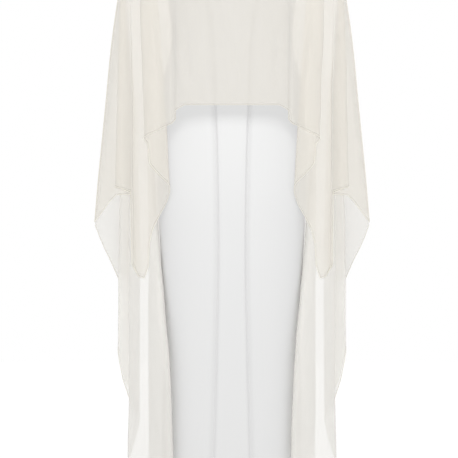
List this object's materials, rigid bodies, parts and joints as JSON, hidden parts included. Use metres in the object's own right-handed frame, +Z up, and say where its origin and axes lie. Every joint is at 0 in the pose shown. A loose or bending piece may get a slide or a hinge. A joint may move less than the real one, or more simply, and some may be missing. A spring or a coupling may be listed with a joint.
{
  "type": "kaftan",
  "caption": "Long kaftan gown: a sheer wide-sleeved overlay, hip length in front and floor length behind, over a plain sleeveless column dress.",
  "frame": {"origin": "midway between the two high points of the neck edge, where the wearer's shoulders hold the gown up", "axes": "+Z up the gown, towards the neck; -Y towards the wearer's front; +X towards the wearer's left"},
  "size_m": [0.6996, 0.3896, 1.5355],
  "materials": {
    "crepe": "matt cool white crepe",
    "chiffon": "sheer ivory chiffon",
    "binding": "ivory chiffon, folded"
  },
  "bodies": {
    "root": {"dress_centre_front": "crepe", "dress_side_front_left": "crepe", "dress_side_front_right": "crepe", "dress_back": "crepe", "overlay_front": "chiffon", "overlay_back": "chiffon", "neck_binding": "binding"}
  },
  "joints": []
}
